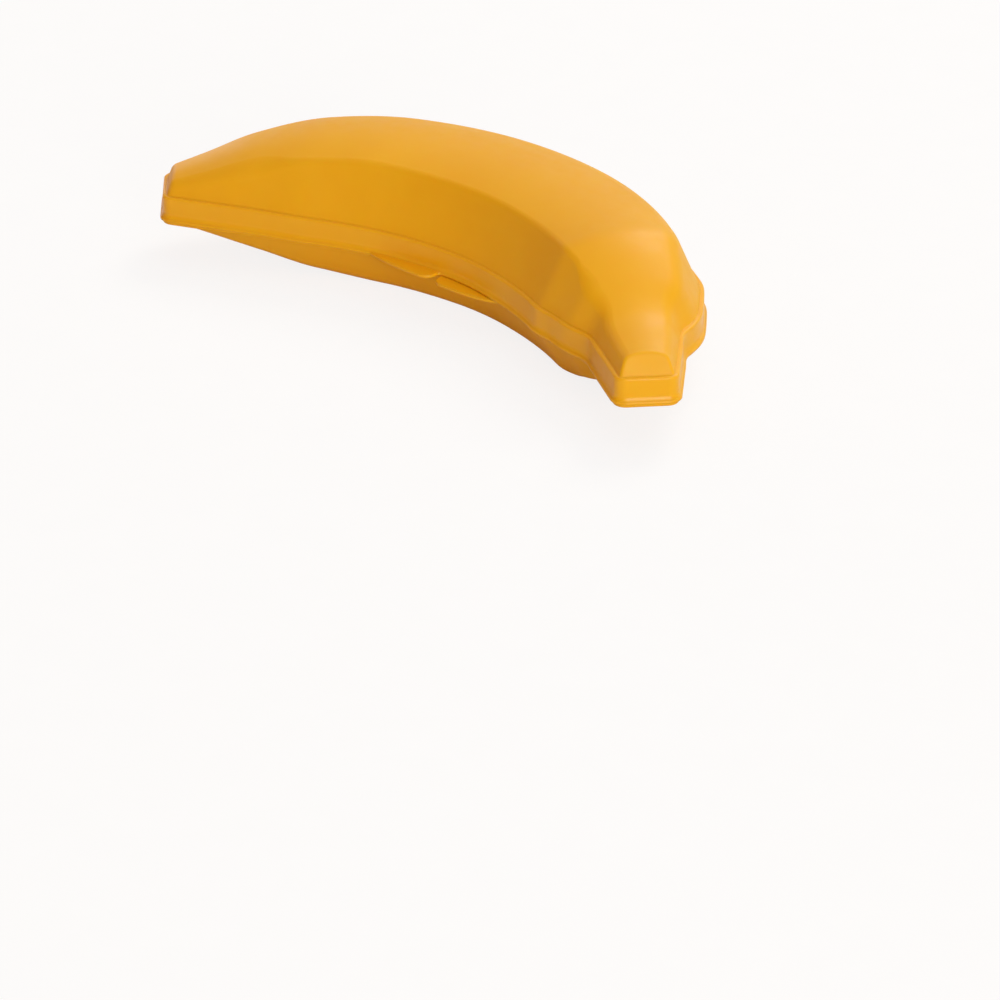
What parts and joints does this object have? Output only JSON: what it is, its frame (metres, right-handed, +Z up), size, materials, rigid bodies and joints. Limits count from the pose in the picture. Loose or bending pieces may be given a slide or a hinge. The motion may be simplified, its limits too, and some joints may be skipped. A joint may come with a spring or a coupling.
{
  "type": "banana storage box",
  "caption": "Curved hard-shell box that carries one banana: a shallow base and a domed lid joined along the outer curve by a bending film, with finger tabs on the inner curve.",
  "frame": {"origin": "centre of the bounding box, on the flat of the base that it stands on", "axes": "+X from the tip end to the stem end, +Y towards the outer curve where the hinge is, +Z up through the lid"},
  "size_m": [0.2382, 0.1006, 0.0504],
  "materials": {
    "shell_plastic": "satin, fine texture, slightly translucent"
  },
  "bodies": {
    "base": {"base_shell": "shell_plastic", "hinge_film": "shell_plastic"},
    "lid": {"lid_shell": "shell_plastic"}
  },
  "joints": [
    {"name": "lid_hinge", "type": "hinge", "parent": "base", "child": "lid", "pos_m": [0.00222, 0.05049, 0.01628], "axis": [-1, 0, 0], "range_deg": [0, 180], "deforming": ["hinge_film"]}
  ]
}
